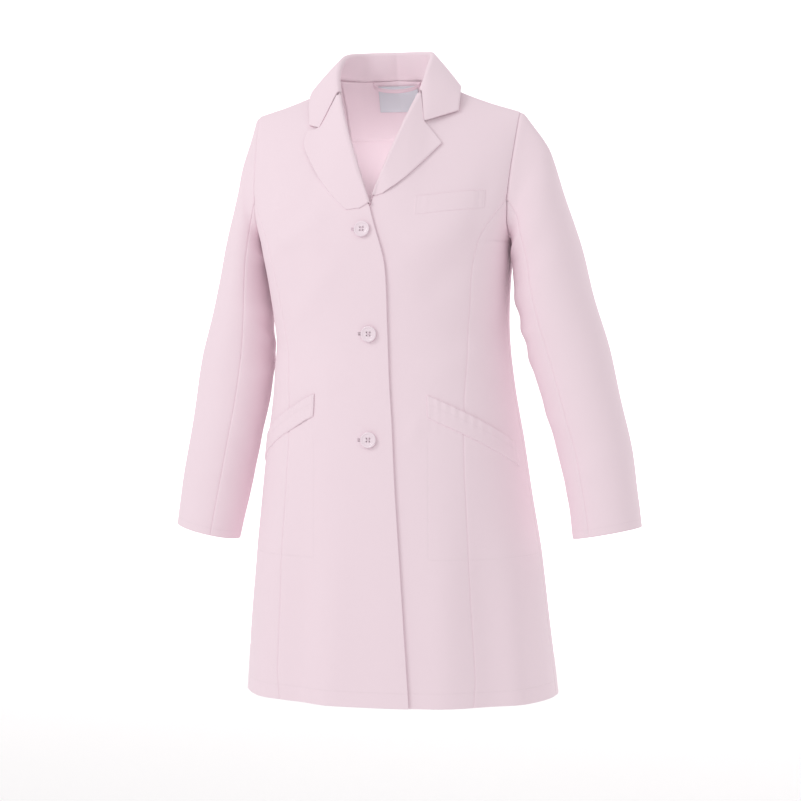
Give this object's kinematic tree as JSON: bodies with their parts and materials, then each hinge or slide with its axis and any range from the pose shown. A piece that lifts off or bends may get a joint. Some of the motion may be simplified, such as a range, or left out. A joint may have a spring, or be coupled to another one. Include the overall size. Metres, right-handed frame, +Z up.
{
  "type": "lab coat",
  "caption": "Long single-breasted women's lab coat with notched lapels, slanted hip welts, chest welt, two-piece sleeves and a hanger loop, hanging as worn.",
  "frame": {"origin": "the point in the hanger loop at the nape of the neck that a hook holds, level with the collar seam at the centre back", "axes": "+Z up, the front of the coat faces -Y, +X to the wearer's left"},
  "size_m": [0.6756, 0.3297, 0.9047],
  "materials": {
    "pink_cloth": "matte",
    "pink_lining": "matte",
    "pink_tape": "matte",
    "label_satin": "satin",
    "button_resin": "satin",
    "sewing_thread": "matte"
  },
  "bodies": {
    "coat_body": {"center_front_left": "pink_cloth", "side_front_left": "pink_cloth", "center_back_left": "pink_cloth", "side_back_left": "pink_cloth", "front_facing_left": "pink_lining", "hip_welt_left": "pink_cloth", "hip_pocket_bag_left": "pink_lining", "center_front_right": "pink_cloth", "side_front_right": "pink_cloth", "center_back_right": "pink_cloth", "side_back_right": "pink_cloth", "front_facing_right": "pink_lining", "hip_welt_right": "pink_cloth", "hip_pocket_bag_right": "pink_lining", "chest_welt": "pink_cloth", "chest_pocket_bag": "pink_lining", "under_collar": "pink_lining", "top_collar": "pink_cloth", "back_neck_facing": "pink_lining", "neck_label": "label_satin"},
    "left_sleeve": {"upper_sleeve_left": "pink_cloth", "under_sleeve_left": "pink_cloth"},
    "right_sleeve": {"upper_sleeve_right": "pink_cloth", "under_sleeve_right": "pink_cloth"},
    "button_top": {"button_1": "button_resin", "button_thread_1": "sewing_thread"},
    "button_middle": {"button_2": "button_resin", "button_thread_2": "sewing_thread"},
    "button_low": {"button_3": "button_resin", "button_thread_3": "sewing_thread"},
    "hanger_loop": {"hanger_loop": "pink_tape"}
  },
  "joints": [
    {"name": "left_sleeve_swing", "type": "hinge", "parent": "coat_body", "child": "left_sleeve", "pos_m": [0.186, -0.055, -0.145], "axis": [-0.9978, 0, 0.0665], "range_deg": [-20, 40]},
    {"name": "right_sleeve_swing", "type": "hinge", "parent": "coat_body", "child": "right_sleeve", "pos_m": [-0.186, -0.055, -0.145], "axis": [-0.9978, 0, -0.0665], "range_deg": [-20, 40]},
    {"name": "hanger_loop_swing", "type": "hinge", "parent": "coat_body", "child": "hanger_loop", "pos_m": [0, -0.00943, -0.003], "axis": [-1, 0, 0], "range_deg": [0, 60]},
    {"name": "button_top_turn", "type": "hinge", "parent": "coat_body", "child": "button_top", "pos_m": [0.00102, -0.19311, -0.21778], "axis": [0.003, -0.9815, 0.1913], "range_deg": [-30, 30], "stiffness_Nm_per_rad": 0.0004},
    {"name": "button_middle_turn", "type": "hinge", "parent": "coat_body", "child": "button_middle", "pos_m": [0.01003, -0.19013, -0.36108], "axis": [0.004, -0.9999, -0.0118], "range_deg": [-30, 30], "stiffness_Nm_per_rad": 0.0004},
    {"name": "button_low_turn", "type": "hinge", "parent": "coat_body", "child": "button_low", "pos_m": [0.01301, -0.20193, -0.50526], "axis": [0.0018, -0.9933, 0.1153], "range_deg": [-30, 30], "stiffness_Nm_per_rad": 0.0004}
  ]
}
